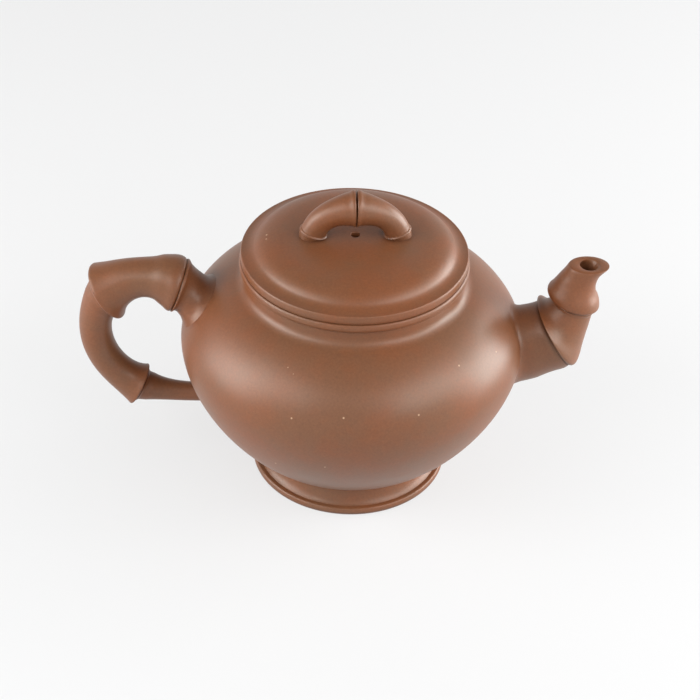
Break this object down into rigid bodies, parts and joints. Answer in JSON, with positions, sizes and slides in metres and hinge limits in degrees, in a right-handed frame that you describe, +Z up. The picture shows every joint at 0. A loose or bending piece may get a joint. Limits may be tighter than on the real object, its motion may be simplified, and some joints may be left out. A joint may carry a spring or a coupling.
{
  "type": "yixing clay teapot",
  "caption": "Round unglazed clay teapot with a bamboo-jointed handle and spout, a ring foot and a lid that lifts off by an arched knob.",
  "frame": {"origin": "on the axis of the belly, at the face that the foot rests on", "axes": "+Z up along the axis of the belly, +X towards the spout, -X towards the handle, +Y away from the viewer who has the spout on the right"},
  "size_m": [0.1572, 0.103, 0.0973],
  "materials": {
    "clay": "unglazed reddish-brown stoneware, satin from use",
    "dark_clay": "unglazed reddish-brown stoneware, matt, on inner and under sides"
  },
  "bodies": {
    "pot": {"body_wall": "clay", "shoulder_plate": "clay", "base_plate": "dark_clay", "foot_ring": "clay", "foot_band": "clay", "neck_ring": "clay", "mouth_band": "clay", "strainer": "dark_clay", "spout_root": "clay", "spout_middle": "clay", "spout_tip": "clay", "handle_root": "clay", "handle_top": "clay", "handle_grip": "clay", "handle_tail": "clay"},
    "lid": {"lid_plate": "clay", "lid_band": "clay", "lid_skirt": "clay", "knob_arm_left": "clay", "knob_arm_right": "clay"}
  },
  "joints": [
    {"name": "lid_lift", "type": "slide", "parent": "pot", "child": "lid", "axis": [0, 0, 1], "range_m": [0, 0.06]}
  ]
}
